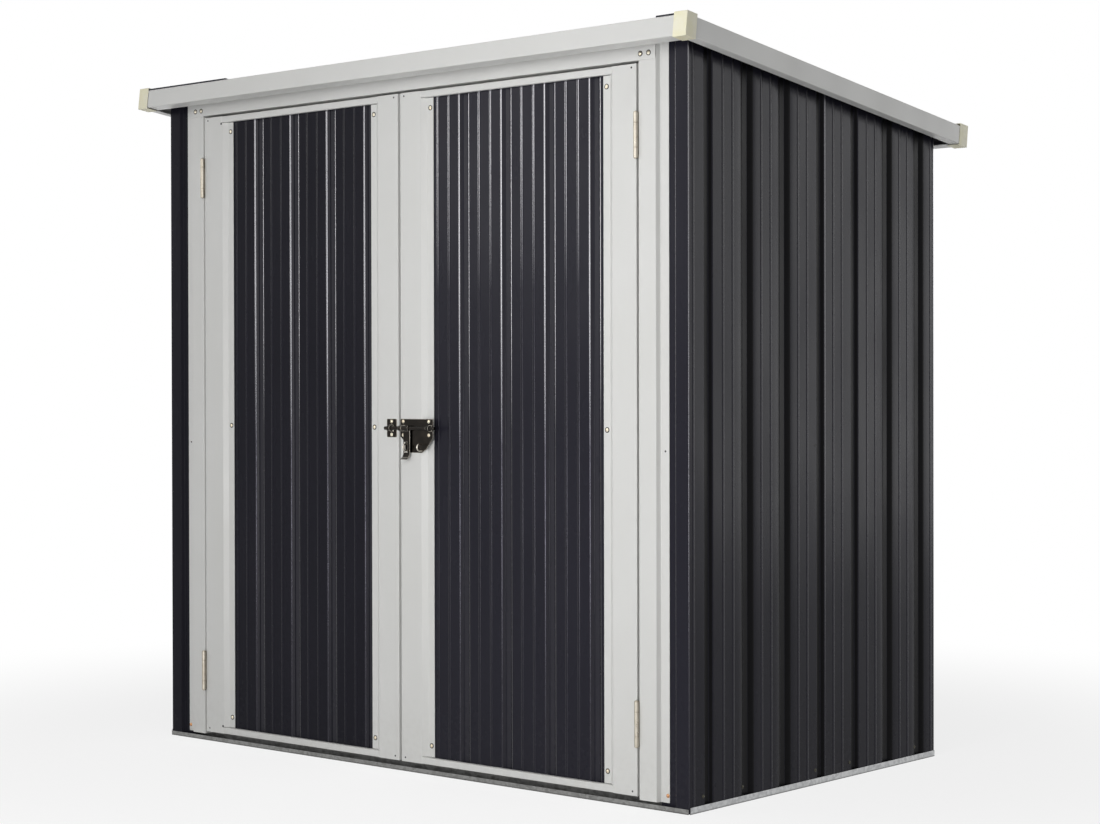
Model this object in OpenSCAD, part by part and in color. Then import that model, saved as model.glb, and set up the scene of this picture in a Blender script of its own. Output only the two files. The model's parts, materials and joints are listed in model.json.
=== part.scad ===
// Pent-roofed metal tool shed with double doors.
// X runs across the front, Y from the front to the back, Z up. The origin is on the ground,
// under the middle of the roof.

/* [Building] */
// Width of the base across the front
base_w = 1814; // [1600:2:2200]
// Depth of the base from front to back
base_d = 1058; // [900:2:1400]
// Height of the top of the front trim above the ground
front_h = 1790; // [1700:5:2100]
// Fall of the roof towards the back, in degrees
roof_pitch = 6.9; // [3:0.1:9]

/* [Roof] */
// How far the side trims stand out past the base
side_overhang = 44.5; // [42:0.5:70]
// How far the front trim's top edge stands out past the base
front_overhang = 64; // [50:1:90]
// How far the back trim's top edge stands out past the base
rear_overhang = 88; // [60:1:110]
// Height of the trims' outer faces
trim_h = 48; // [40:1:75]
// Width of the front and back trims' folded lips under the eaves
trim_lip = 38; // [25:0.5:42]
// Width of the side trims' folded lips under the eaves
side_lip = 26.5; // [18:0.5:40]
// Width of the trims' folded lips over the roof sheets
trim_top = 24; // [15:1:35]
// Thickness of the trim sheet
trim_t = 1.2; // [0.8:0.1:2]
// Length of each leg of a corner cap
cap_leg = 36; // [30:1:60]
// Thickness of a corner cap
cap_t = 1.8; // [1.2:0.1:3]
// How far a corner cap rises above the trims
cap_rise = 6.5; // [4:0.5:10]
// How far a corner cap hangs below the trims
cap_drop = 3; // [2:0.5:6]
// Height of the dark hems on the ends of the front trim
hem_h = 3.5; // [2:0.5:6]
// Length of the left hem
left_hem_w = 320; // [150:5:500]
// Length of the right hem
right_hem_w = 52; // [40:1:200]

/* [Sheets] */
// Thickness of the wall, roof and door sheets
sheet_t = 1; // [0.6:0.1:1.4]
// Nominal distance between the grooves of the wall and roof sheets
wall_pitch = 151; // [120:1:180]
// Width of a groove at its mouth
groove_w = 32; // [24:1:40]
// Width of a groove at its bottom
groove_floor = 17; // [10:1:22]
// Depth of a groove
groove_d = 8; // [5:0.5:9]
// Width of the rounded shoulders of the grooves inside a wall or roof sheet
shoulder_w = 22; // [8:1:26]
// Distance of the small beads from the middle of a pan
bead_off = 19; // [14:1:24]
// Width of a bead
bead_w = 9; // [6:1:12]
// Height of a bead
bead_h = 1.2; // [0.8:0.1:1.5]
// Gap between the base rail's outer face and the pans of the wall sheets
wall_inset = 2.6; // [2.6:0.1:4]

/* [Rails] */
// Thickness of the base rails and the inner rails
rail_t = 1.2; // [0.8:0.1:2]
// Height of the base rail's outer lip under the side and back walls
rail_lip = 16; // [12:1:25]
// Height of the base rail's outer lip under the doors
sill_lip = 12; // [8:1:16]
// Width of the base rail's foot flange
foot_w = 42; // [40:1:60]
// How far the base rails' lips stop short of the corners
rail_gap = 3; // [1:0.5:5]
// Height of the base rail's inner upstand
upstand_h = 50; // [40:1:60]
// Height of the inner upstand behind the doors
sill_h = 40; // [32:1:50]
// Width of the faces of the inner rails
inner_rail_h = 40; // [25:1:50]
// Width of the folded lips of the inner rails
inner_rail_lip = 22; // [15:1:30]
// Height of the middle rails above the ground
mid_rail_z = 800; // [700:5:950]
// Width of the legs of the rear corner posts
corner_leg = 32; // [20:1:40]
// Radius of the ground anchor holes
anchor_r = 4; // [3:0.5:5]
// Distance of the anchor holes from the ends of the side rails
anchor_inset = 150; // [100:5:250]
// Distance of the anchor holes from the outer face of the side rails
anchor_in = 28; // [24:1:34]

/* [Doorway] */
// Clear width between the door posts
opening_w = 1524; // [1300:2:1600]
// Height of the underside of the header above the ground
opening_h = 1711; // [1600:5:1720]
// Width of a door post's flat face
post_face = 50; // [40:1:60]
// Width of a door post's outer flange
post_flange = 24; // [18:1:28]
// Width of the fold between the face and the flange
post_slope = 5; // [3:1:8]
// How far the outer flange lies behind the face
post_step = 12; // [10:1:14]
// Width of the door stops on the posts and the header
stop_w = 12; // [8:1:14]
// Gap between a closed door and the stops behind it
stop_gap = 5.5; // [5:0.1:8]
// Width of the corner fold on the side sheets
corner_w = 39; // [30:1:50]

/* [Doors] */
// Thickness of a door
door_t = 28; // [24:1:34]
// Gap between a door and its post, and between a door and the header
door_gap = 6; // [5.5:0.1:8]
// Gap between the two doors
meeting_gap = 8; // [6:0.1:10]
// Distance of the meeting line from the middle of the doorway
meeting_x = -8; // [-20:1:20]
// Height of the doors' lower edge above the ground
door_bottom = 25; // [20:1:35]
// Width of a stile's flat face
stile_face = 72; // [60:1:80]
// Width of the fold between a stile's face and its flange
stile_slope = 13; // [10:1:16]
// How far a stile's flange lies behind its face
stile_step = 10.7; // [8:0.1:12]
// Width of a stile's inner flange
stile_flange = 21; // [15:1:26]
// Height of a door's top and bottom rails
door_rail_h = 17; // [14:1:26]
// Width of the folded edge at the back of a door frame
back_lip = 12; // [8:1:16]
// Distance between the grooves of a door sheet
door_pitch = 139.5; // [120:0.5:150]
// Distance of a door sheet's first groove from the door's left edge
first_groove = 207; // [180:1:215]

/* [Hinges] */
// Height of a hinge
hinge_h = 105; // [80:1:120]
// Height of the lower hinges' middle above the ground
low_hinge_z = 192; // [120:1:300]
// Height of the upper hinges' middle above the ground
high_hinge_z = 1541; // [1400:1:1600]
// Radius of a hinge knuckle
knuckle_r = 5.5; // [5:0.1:5.9]
// Height of an outer knuckle
outer_knuckle_h = 24; // [18:1:30]
// Radius of a hinge pin
pin_r = 3; // [2.5:0.1:3.4]
// Radial clearance of a hinge pin
pin_gap = 0.08; // [0.04:0.01:0.1]
// Thickness of a hinge leaf
leaf_t = 1.5; // [1:0.1:2]
// How far a hinge leaf reaches into the gap
leaf_d = 24; // [18:1:27]
// How far a knuckle's centre stands out in front of the doors
knuckle_out = 6; // [6:0.1:8]

/* [Bolt] */
// Height of the bolt's rod above the ground
bolt_z = 863.5; // [700:0.5:1000]
// Radius of the bolt's rod
rod_r = 4.5; // [4:0.1:5]
// Travel of the rod from shut to open
bolt_travel = 49; // [40:1:52]
// Distance of the rod's axis in front of the doors
rod_out = 9.5; // [9:0.1:12]
// Length of the rod
rod_l = 174; // [160:1:190]
// Distance of the rod's tip past the meeting edge of the right door
rod_reach = 48; // [40:1:52]
// Thickness of the plates on the doors
plate_t = 2; // [1.5:0.1:3]
// Width of the plate on the right door
plate_w = 115; // [108:1:125]
// Height of the plates on both sides of the rod
plate_h = 47; // [42:1:54]
// Depth of the tab below the plate on the right door
tab_d = 38; // [34:1:44]
// Width of the keeper plate on the left door
keeper_w = 34; // [28:1:40]
// Distance of the keeper plate from the meeting edge of the left door
keeper_in = 5; // [4:1:12]
// Width of a guide or keeper loop
loop_w = 10; // [8:1:14]
// Wall of a guide or keeper loop
loop_t = 2.4; // [2:0.1:3]
// Clearance of the rod in its guides
guide_gap = 0.1; // [0.05:0.01:0.3]
// Clearance of the rod in the keeper
keeper_gap = 0.8; // [0.5:0.1:1.5]
// Radius of the wire of the padlock staples
staple_r = 2; // [1.5:0.1:2.5]
// How far a staple stands out from its plate
staple_out = 21; // [18:1:24]
// Outer height of a staple
staple_h = 20; // [18:1:24]
// Distance of the staples below the rod's axis
staple_down = 47.5; // [44:0.5:52]
// Distance of the first staple from the meeting edge of the right door
staple_in = 29; // [27:1:32]
// Width of the hasp
hasp_w = 23; // [21:1:26]
// Length of the hasp below the rod's axis
hasp_l = 77; // [70:1:84]
// Thickness of the hasp
hasp_t = 2; // [1.5:0.1:2.5]
// Width of the hasp's slot
slot_w = 11.5; // [11:0.1:14]
// Height of the hasp's slot
slot_h = 26; // [24:1:30]

/* [Hidden] */

sheet_color = "#2f3036";
trim_color = "#dcdcd8";
cap_color = "#ece8cc";
zinc_color = "#a9adb0";
brass_color = "#b08d4f";
steel_color = "#6d6a66";

// The roof in its own plane: x across, y down the slope, z square to it, from the middle of
// the front trim's top edge.
roof_w = base_w + 2 * side_overhang;
roof_l = (base_d + front_overhang + rear_overhang) / cos(roof_pitch);
// The roof's reach in front of and behind that edge, measured level over the corner caps.
cap_front = cap_t * cos(roof_pitch) + (trim_h + cap_drop) * sin(roof_pitch);
cap_back = (roof_l + cap_t) * cos(roof_pitch) + cap_rise * sin(roof_pitch);
edge_y = (cap_front - cap_back) / 2;
front_y = edge_y + front_overhang;
// The tops of the roof sheets' pans, whose beads touch the trims' top lips.
pan_z = -(trim_t + bead_h);
// The undersides of the roof sheets' grooves, which the walls reach.
seat_z = pan_z - groove_d - sheet_t;
roof_in = roof_w / 2 - trim_t;

// Depths from the base's outer faces.
wall_x = base_w / 2 - wall_inset;
rail_in = wall_inset + groove_d + sheet_t;
stop_y = door_t + stop_gap;
post_in = opening_w / 2;
post_out = post_in + post_face;
flange_out = post_out + post_slope + post_flange;
return_y = post_step + sheet_t;

door_top = opening_h - door_gap;
door_h = door_top - door_bottom;
left_door_x = -post_in + door_gap;
left_door_w = meeting_x - meeting_gap / 2 - left_door_x;
right_door_x = meeting_x + meeting_gap / 2;
right_door_w = post_in - door_gap - right_door_x;
sheet_y = stile_step + sheet_t;

hinge_x = post_in - door_gap / 2;
knuckle_cut = knuckle_r + 0.6;
knuckle_play = 0.5;

staple_x = right_door_x + staple_in;
wide = 4000;
eps = 0.01;

// ---------- Outlines ----------

function unit(v) = v / norm(v);
function left_of(v) = [-v.y, v.x];
// The point of a folded strip's other face that belongs to point i of the first face.
function other_face(p, i, t) =
    let (
        last = len(p) - 1,
        before = unit(i > 0 ? p[i] - p[i - 1] : p[1] - p[0]),
        after = unit(i < last ? p[i + 1] - p[i] : p[last] - p[last - 1]),
        n = left_of(before) + left_of(after)
    )
    p[i] + n * (2 * t / (n * n));

// A sheet of thickness t folded along the points p; the thickness lies to the left.
module fold(p, t) {
    polygon(concat(p, [for (i = [len(p) - 1:-1:0]) other_face(p, i, t)]));
}

// A groove's rounded shoulder, as shares of the shoulder's width and of the groove's depth.
shoulder_curve = [[1, 0], [0.4, 0.13], [0.1, 0.32]];
// One side of a groove from its shoulder to its bottom, as [distance from its middle, depth].
function groove_side(shoulder) = concat(
    shoulder > 0
        ? [for (p = shoulder_curve) [groove_w / 2 + p[0] * shoulder, p[1] * groove_d]]
        : [[groove_w / 2, 0]],
    [[groove_floor / 2, groove_d]]
);
// One groove and one bead of a profiled sheet, as [place, depth] points.
function groove(c, shoulder) =
    let (side = groove_side(shoulder))
    concat(
        [for (p = side) [c - p[0], p[1]]],
        [for (i = [len(side) - 1:-1:0]) [c + side[i][0], side[i][1]]]
    );
function bead(c) = [
    [c - bead_w / 2, 0], [c - bead_w / 4, -bead_h], [c + bead_w / 4, -bead_h], [c + bead_w / 2, 0]
];
// The points of a profiled sheet from a to b, with grooves at first + i * pitch. The first and
// last of every four grooves are sharp, and the two between them have rounded shoulders.
function profile(a, b, first, pitch, shoulder = 0) = [
    for (i = [floor((a - first) / pitch) - 1:ceil((b - first) / pitch)])
        let (
            c = first + i * pitch,
            soft = i % 4 == 1 || i % 4 == 2 ? shoulder : 0
        )
        for (part = [
            [c, groove_w + 2 * soft, groove(c, soft)],
            [c + pitch / 2 - bead_off, bead_w, bead(c + pitch / 2 - bead_off)],
            [c + pitch / 2 + bead_off, bead_w, bead(c + pitch / 2 + bead_off)]
        ])
            if (part[0] - part[1] / 2 > a + 1 && part[0] + part[1] / 2 < b - 1)
                for (point = part[2]) point
];
function sheet_count(length) = round(length / wall_pitch);
function even_pitch(length) = length / sheet_count(length);
// The profile from a to b of a wall or roof of a given length, whose shoulders end before the
// beads.
function even_profile(length, a, b) =
    let (
        pitch = even_pitch(length),
        room = pitch / 2 - bead_off - (bead_w + groove_w) / 2 - 1
    )
    profile(a, b, pitch / 2, pitch, min(shoulder_w, room));
// The place of a lap between two sheets, just past groove k.
function lap(length, k) = (k - 0.5) * even_pitch(length) + groove_w / 2 + 4;
// The start of a sheet that tucks under its neighbour at a lap.
function tuck(a) = [[a - 3, sheet_t], [a + 0.2, sheet_t], [a + 0.2 + sheet_t, 0]];
// A sheet between two laps; a sheet that starts the wall isn't tucked.
function sheet_points(length, a, b) = concat(
    a > 0 ? tuck(a) : [[a, 0]],
    even_profile(length, a, b),
    [[b, 0]]
);

// ---------- Placing ----------

// From the front of the base, at the ground.
module on_base() {
    translate([0, front_y, 0]) children();
}

// In the plane of the roof.
module on_roof() {
    translate([0, edge_y, front_h]) rotate([-roof_pitch, 0, 0]) children();
}

// A [y, z] outline run along X.
module along_x(x0, x1) {
    translate([x0, 0, 0]) rotate([90, 0, 90]) linear_extrude(x1 - x0) children();
}

// An [x, z] outline run along Y.
module along_y(y0, y1) {
    translate([0, y1, 0]) rotate([90, 0, 0]) linear_extrude(y1 - y0) children();
}

// An [x, y] outline run up from z0 to the roof sheets.
module up_to_roof(z0) {
    difference() {
        on_base() translate([0, 0, z0]) linear_extrude(front_h - z0) children();
        on_roof() translate([-wide / 2, -wide / 4, seat_z]) cube([wide, wide, wide]);
    }
}

module sides() {
    children();
    mirror([1, 0, 0]) children();
}

// Cuts a rail or a trim, width deep and from z0 to z1, to 45 degrees at both ends.
module mitred(length, width, z0, z1) {
    intersection() {
        children();
        translate([0, 0, z0 - 1]) linear_extrude(z1 - z0 + 2)
            polygon([
                [-length / 2, 0], [length / 2, 0],
                [length / 2 - width, width], [width - length / 2, width]
            ]);
    }
}

// ---------- Base ----------

// A base rail's section: depth from the outer face, height.
module rail_section(lip, upstand_at, upstand) {
    fold([[0, lip], [0, 0], [foot_w, 0]], rail_t);
    translate([upstand_at, 0]) square([rail_t, upstand]);
}

// A base rail cut to 45 degrees at both ends.
module base_rail(length, lip, upstand_at, upstand) {
    reach = length / 2 - rail_gap;
    mitred(2 * reach, foot_w, 0, upstand)
        along_x(-reach, reach) rail_section(lip, upstand_at, upstand);
}

module base_front_rail() {
    color(zinc_color) on_base()
        base_rail(base_w, sill_lip, stop_y + sheet_t, sill_h);
}

module base_back_rail() {
    color(zinc_color) on_base()
        translate([0, base_d, 0]) mirror([0, 1, 0])
            base_rail(base_w, rail_lip, rail_in, upstand_h);
}

module base_side_rail() {
    color(zinc_color) on_base()
        difference() {
            translate([-base_w / 2, base_d / 2, 0]) rotate([0, 0, -90])
                base_rail(base_d, rail_lip, rail_in, upstand_h);
            for (y = [anchor_inset, base_d - anchor_inset])
                translate([anchor_in - base_w / 2, y, -1])
                    cylinder(r = anchor_r, h = rail_t + 2, $fn = 48);
        }
}

module base_left_rail() {
    base_side_rail();
}

module base_right_rail() {
    mirror([1, 0, 0]) base_side_rail();
}

// ---------- Walls ----------

side_lap = lap(base_d, 4);

// The right wall's front sheet, folded round the front corner to the door post.
module wall_front_sheet() {
    color(sheet_color)
        up_to_roof(rail_t)
            fold(concat(
                [
                    [post_out + post_slope, return_y],
                    [wall_x - corner_w - post_step / 2, return_y],
                    [wall_x - corner_w, wall_inset],
                    [wall_x, wall_inset]
                ],
                [
                    for (p = even_profile(base_d, wall_inset, side_lap))
                        [wall_x - p[1], p[0]]
                ],
                [[wall_x, side_lap]]
            ), sheet_t);
}

// The right wall's rear sheet, folded round the back corner.
module wall_rear_sheet() {
    back = base_d - wall_inset - sheet_t;
    color(sheet_color)
        up_to_roof(rail_t)
            fold(concat(
                [
                    for (p = concat(tuck(side_lap), even_profile(base_d, side_lap, back)))
                        [wall_x - p[1], p[0]]
                ],
                [[wall_x, back], [wall_x - corner_w, back]]
            ), sheet_t);
}

module left_wall_front_sheet() {
    mirror([1, 0, 0]) wall_front_sheet();
}

module left_wall_rear_sheet() {
    mirror([1, 0, 0]) wall_rear_sheet();
}

module right_wall_front_sheet() {
    wall_front_sheet();
}

module right_wall_rear_sheet() {
    wall_rear_sheet();
}

back_len = 2 * wall_x;

// One sheet of the back wall, between two places from its right end as seen from behind.
module back_sheet(a, b) {
    color(sheet_color)
        up_to_roof(rail_t)
            fold(
                [for (p = sheet_points(back_len, a, b)) [wall_x - p[0], base_d - wall_inset - p[1]]],
                sheet_t
            );
}

module back_wall_right_sheet() {
    back_sheet(0, lap(back_len, 4));
}

module back_wall_middle_sheet() {
    back_sheet(lap(back_len, 4), lap(back_len, 8));
}

module back_wall_left_sheet() {
    back_sheet(lap(back_len, 8), back_len);
}

// Angle posts inside the two back corners, ending before the side walls' last grooves.
module rear_corner_posts() {
    x = wall_x - sheet_t;
    y = base_d - wall_inset - 2 * sheet_t;
    room = even_pitch(base_d) / 2 - groove_w / 2 - shoulder_w - (base_d - y);
    leg = min(corner_leg, room);
    color(zinc_color)
        sides()
            up_to_roof(rail_t)
                fold([[x, y - leg], [x, y], [x - leg, y]], rail_t);
}

// Rails inside the walls at half height.
module wall_mid_rails() {
    x = base_w / 2 - rail_in;
    y = base_d - rail_in;
    lip_fold = [[0, inner_rail_h], [0, 0], [inner_rail_lip, 0]];
    color(zinc_color) on_base() translate([0, 0, mid_rail_z]) {
        translate([0, y, 0]) mirror([0, 1, 0])
            along_x(-x, x) fold(lip_fold, rail_t);
        sides()
            translate([-x, 0, 0])
                along_y(stop_y + sheet_t, y - inner_rail_lip - rail_t) fold(lip_fold, rail_t);
    }
}

// Rails inside the tops of the walls, which carry the roof sheets.
module wall_top_rails() {
    x = base_w / 2 - rail_in;
    back_y = base_d - rail_in;
    back_z = front_h - (back_y + front_overhang) * tan(roof_pitch) + seat_z / cos(roof_pitch);
    down_fold = [[inner_rail_lip, 0], [0, 0], [0, -inner_rail_h]];
    color(zinc_color) {
        on_base() translate([0, back_y, back_z]) mirror([0, 1, 0])
            along_x(-x, x) fold(down_fold, rail_t);
        sides()
            on_roof() translate([-x, 0, seat_z])
                along_y(
                    front_overhang + stop_y + 4 * rail_t,
                    roof_l - rear_overhang - rail_in - inner_rail_lip - 8
                )
                    fold(down_fold, rail_t);
    }
}

// ---------- Door frame ----------

module door_post() {
    color(trim_color)
        up_to_roof(sill_lip + 6)
            fold([
                [post_in - stop_w, stop_y], [post_in, stop_y], [post_in, 0], [post_out, 0],
                [post_out + post_slope, post_step], [flange_out, post_step]
            ], sheet_t);
}

module left_door_post() {
    mirror([1, 0, 0]) door_post();
}

module right_door_post() {
    door_post();
}

module door_header() {
    inside = post_in - stop_w;
    color(trim_color)
        difference() {
            on_base() {
                // The face laps over the posts' faces.
                along_x(-post_out, post_out)
                    translate([-sheet_t, opening_h]) square([sheet_t, front_h - opening_h]);
                along_x(-post_in, post_in)
                    fold([[-sheet_t, opening_h + sheet_t + eps], [-sheet_t, opening_h],
                        [stop_y - sheet_t, opening_h]], sheet_t);
                along_x(-inside, inside)
                    fold([[0, opening_h], [stop_y, opening_h], [stop_y, opening_h - stop_w]],
                        sheet_t);
            }
            on_roof() translate([-wide / 2, -wide / 4, seat_z]) cube([wide, wide, wide]);
        }
}

// ---------- Roof ----------

module roof_sheet(a, b) {
    length = 2 * roof_in;
    color(sheet_color)
        on_roof()
            along_y(trim_t, roof_l - trim_t)
                fold([for (p = sheet_points(length, a, b)) [roof_in - p[0], pan_z - p[1]]],
                    sheet_t);
}

module roof_right_sheet() {
    roof_sheet(0, lap(2 * roof_in, 4));
}

module roof_middle_sheet() {
    roof_sheet(lap(2 * roof_in, 4), lap(2 * roof_in, 9));
}

module roof_left_sheet() {
    roof_sheet(lap(2 * roof_in, 9), 2 * roof_in);
}

// A channel across the middle of the roof, under the sheets.
module roof_purlin() {
    y = roof_l / 2;
    x = base_w / 2 - rail_in - inner_rail_lip;
    half = inner_rail_lip / 2;
    color(zinc_color)
        on_roof() translate([0, y, seat_z])
            along_x(-x, x)
                fold([[half, 0], [-half, 0], [-half, -inner_rail_h], [half, -inner_rail_h]],
                    rail_t);
}

// A trim cut to 45 degrees at both ends, its outer face at Y 0 and its top edge at Z 0.
module trim(length, lip) {
    color(trim_color)
        mitred(length, max(lip, trim_top), -trim_h, 0)
            along_x(-length / 2, length / 2)
                fold([[trim_top, 0], [0, 0], [0, -trim_h], [lip, -trim_h]], trim_t);
}

module roof_front_trim() {
    on_roof() trim(roof_w, trim_lip);
}

module roof_back_trim() {
    on_roof() translate([0, roof_l, 0]) mirror([0, 1, 0]) trim(roof_w, trim_lip);
}

module side_trim() {
    on_roof() translate([-roof_w / 2, roof_l / 2, 0]) rotate([0, 0, -90]) trim(roof_l, side_lip);
}

module roof_left_trim() {
    side_trim();
}

module roof_right_trim() {
    mirror([1, 0, 0]) side_trim();
}

// A cap over the left front corner of the trims, open towards them.
module corner_cap() {
    height = trim_h + cap_rise + cap_drop;
    difference() {
        translate([-roof_w / 2 - cap_t, -cap_t, -trim_h - cap_drop])
            cube([cap_leg + cap_t, cap_leg + cap_t, height]);
        translate([-roof_w / 2, 0, -trim_h - cap_drop + cap_t])
            cube([cap_leg + 1, cap_leg + 1, height - 2 * cap_t]);
    }
}

module roof_corner_caps() {
    color(cap_color)
        on_roof()
            sides() {
                corner_cap();
                translate([0, roof_l, 0]) mirror([0, 1, 0]) corner_cap();
            }
}

// Dark hems of the outer roof sheets, lying on the ends of the front trim.
module roof_front_hems() {
    color(sheet_color)
        on_roof() {
            translate([cap_leg - roof_w / 2, 0, 0]) cube([left_hem_w, trim_top, hem_h]);
            translate([roof_w / 2 - cap_leg - right_hem_w, 0, 0])
                cube([right_hem_w, trim_top, hem_h]);
        }
}

// ---------- Doors ----------

// A stile on the left edge of a door. Its fold and flange stop at the door's rails.
module stile() {
    color(trim_color) {
        linear_extrude(door_h)
            fold([[back_lip, door_t], [0, door_t], [0, 0], [stile_face, 0]], sheet_t);
        translate([0, 0, door_rail_h + 1])
            linear_extrude(door_h - 2 * door_rail_h - 2)
                fold([
                    [stile_face - 1, 0], [stile_face, 0],
                    [stile_face + stile_slope, stile_step],
                    [stile_face + stile_slope + stile_flange, stile_step]
                ], sheet_t);
    }
}

// A door's top and bottom rails, between the faces of its stiles.
module door_rails(width) {
    color(trim_color)
        for (flip = [0, 1])
            translate([0, 0, flip * door_h]) mirror([0, 0, flip])
                along_x(stile_face, width - stile_face)
                    fold([
                        [stile_step, door_rail_h], [0, door_rail_h], [0, 0],
                        [door_t, 0], [door_t, back_lip]
                    ], sheet_t);
}

// A door's profiled sheet, behind the flanges of its frame.
module door_sheet(width) {
    inset = stile_face + stile_slope + 2;
    color(sheet_color)
        translate([0, 0, door_rail_h - sheet_t - 6])
            linear_extrude(door_h - 2 * (door_rail_h - sheet_t - 6))
                fold(concat(
                    [[inset, sheet_y]],
                    [
                        for (p = profile(
                            inset + stile_flange, width - inset - stile_flange + groove_w,
                            first_groove, door_pitch
                        ))
                            if (p[0] < width - inset - 2)
                                [p[0], sheet_y + bead_h + p[1]]
                    ],
                    [[width - inset, sheet_y]]
                ), sheet_t);
}

module on_left_door() {
    on_base() translate([left_door_x, 0, door_bottom]) children();
}

module on_right_door() {
    on_base() translate([right_door_x, 0, door_bottom]) children();
}

module left_door_sheet() {
    on_left_door() door_sheet(left_door_w);
}

module left_door_hinge_stile() {
    on_left_door() stile();
}

module left_door_meeting_stile() {
    on_left_door() translate([left_door_w, 0, 0]) mirror([1, 0, 0]) stile();
}

module left_door_rails() {
    on_left_door() door_rails(left_door_w);
}

module right_door_sheet() {
    on_right_door() door_sheet(right_door_w);
}

module right_door_hinge_stile() {
    on_right_door() translate([right_door_w, 0, 0]) mirror([1, 0, 0]) stile();
}

module right_door_meeting_stile() {
    on_right_door() stile();
}

module right_door_rails() {
    on_right_door() door_rails(right_door_w);
}

// ---------- Hinges ----------

// Both hinges of the right door, each drawn from its middle.
module on_hinges() {
    on_base()
        for (z = [low_hinge_z, high_hinge_z])
            translate([hinge_x, -knuckle_out, z]) children();
}

// The post's leaf with the outer knuckles and the pin.
module post_leaf() {
    leaf_x = door_gap / 2 - leaf_t;
    color(brass_color)
        on_hinges() {
            translate([leaf_x, knuckle_cut, -hinge_h / 2])
                cube([leaf_t, leaf_d, hinge_h]);
            for (flip = [0, 1]) mirror([0, 0, flip])
                translate([0, 0, hinge_h / 2 - outer_knuckle_h]) {
                    cylinder(r = knuckle_r, h = outer_knuckle_h, $fn = 48);
                    translate([leaf_x, 0, 0])
                        cube([leaf_t, knuckle_cut + 1, outer_knuckle_h]);
                }
            translate([0, 0, -hinge_h / 2]) cylinder(r = pin_r, h = hinge_h, $fn = 48);
        }
}

// The door's leaf with the middle knuckle.
module door_leaf() {
    middle_h = hinge_h - 2 * outer_knuckle_h - 2 * knuckle_play;
    color(brass_color)
        on_hinges()
            difference() {
                union() {
                    translate([-door_gap / 2, knuckle_cut, -hinge_h / 2])
                        cube([leaf_t, leaf_d, hinge_h]);
                    translate([-door_gap / 2, 0, -middle_h / 2])
                        cube([leaf_t, knuckle_cut + 1, middle_h]);
                    translate([0, 0, -middle_h / 2])
                        cylinder(r = knuckle_r, h = middle_h, $fn = 48);
                }
                translate([0, 0, -hinge_h])
                    cylinder(r = pin_r + pin_gap, h = 2 * hinge_h, $fn = 48);
            }
}

module left_post_hinge_leaves() {
    mirror([1, 0, 0]) post_leaf();
}

module right_post_hinge_leaves() {
    post_leaf();
}

module left_door_hinge_leaves() {
    mirror([1, 0, 0]) door_leaf();
}

module right_door_hinge_leaves() {
    door_leaf();
}

// ---------- Bolt ----------

// From the right door's meeting edge, on its face, at the height of the rod.
module on_bolt() {
    on_base() translate([right_door_x, 0, bolt_z]) children();
}

// An [x, z] outline of thickness t, lying on the door's face.
module door_plate(t) {
    rotate([90, 0, 0]) linear_extrude(t) children();
}

// A loop over the rod, w wide, fixed to a plate.
module rod_loop(w, clearance) {
    r = rod_r + clearance;
    translate([0, -rod_out, 0]) rotate([0, 90, 0])
        difference() {
            union() {
                cylinder(r = r + loop_t, h = w, $fn = 48);
                translate([-r - loop_t, 0, 0])
                    cube([2 * (r + loop_t), rod_out - plate_t + eps, w]);
            }
            translate([0, 0, -1]) cylinder(r = r, h = w + 2, $fn = 48);
        }
}

guide_x = [5, plate_w - 5 - loop_w];

module bolt_plate() {
    half = plate_h / 2;
    left = staple_in - 11;
    right = staple_in + bolt_travel + 13;
    color(steel_color)
        on_bolt() {
            door_plate(plate_t)
                polygon([
                    [0, -half + 2], [0, half - 2], [2, half], [plate_w - 2, half],
                    [plate_w, half - 2], [plate_w, -half], [right, -half - tab_d * 0.75],
                    [right - 15, -half - tab_d], [left + 8, -half - tab_d],
                    [left, -half - tab_d * 0.75], [left, -half - tab_d * 0.35],
                    [left - 14, -half], [2, -half]
                ]);
            for (x = guide_x) translate([x, 0, 0]) rod_loop(loop_w, guide_gap);
        }
}

// A padlock staple: a bent wire standing out from the plate.
module staple() {
    bend = staple_h / 2 - staple_r;
    straight = staple_out - staple_h / 2;
    translate([0, -plate_t - straight, 0]) rotate([0, -90, 0]) rotate([0, 0, 180])
        rotate_extrude(angle = 180, $fn = 64)
            translate([bend, 0]) circle(r = staple_r, $fn = 24);
    for (side = [-1, 1])
        translate([0, -plate_t, side * bend]) rotate([90, 0, 0])
            cylinder(r = staple_r, h = straight + eps, $fn = 24);
}

module bolt_staples() {
    color(steel_color)
        on_bolt()
            for (x = [staple_in, staple_in + bolt_travel])
                translate([x, 0, -staple_down]) staple();
}

module bolt_keeper() {
    half = plate_h / 2;
    color(steel_color)
        on_base()
            translate([meeting_x - meeting_gap / 2 - keeper_in - keeper_w, 0, bolt_z]) {
                door_plate(plate_t)
                    polygon([
                        [0, 2 - half], [0, half - 2], [2, half], [keeper_w - 2, half],
                        [keeper_w, half - 2], [keeper_w, 2 - half], [keeper_w - 2, -half],
                        [2, -half]
                    ]);
                translate([(keeper_w - loop_w) / 2, 0, 0]) rod_loop(loop_w, keeper_gap);
            }
}

module bolt_rod() {
    color(steel_color)
        on_bolt() translate([-rod_reach, -rod_out, 0]) rotate([0, 90, 0]) {
            cylinder(r1 = rod_r - 1.5, r2 = rod_r, h = 2, $fn = 48);
            translate([0, 0, 2 - eps]) cylinder(r = rod_r, h = rod_l - 2, $fn = 48);
        }
}

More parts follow.
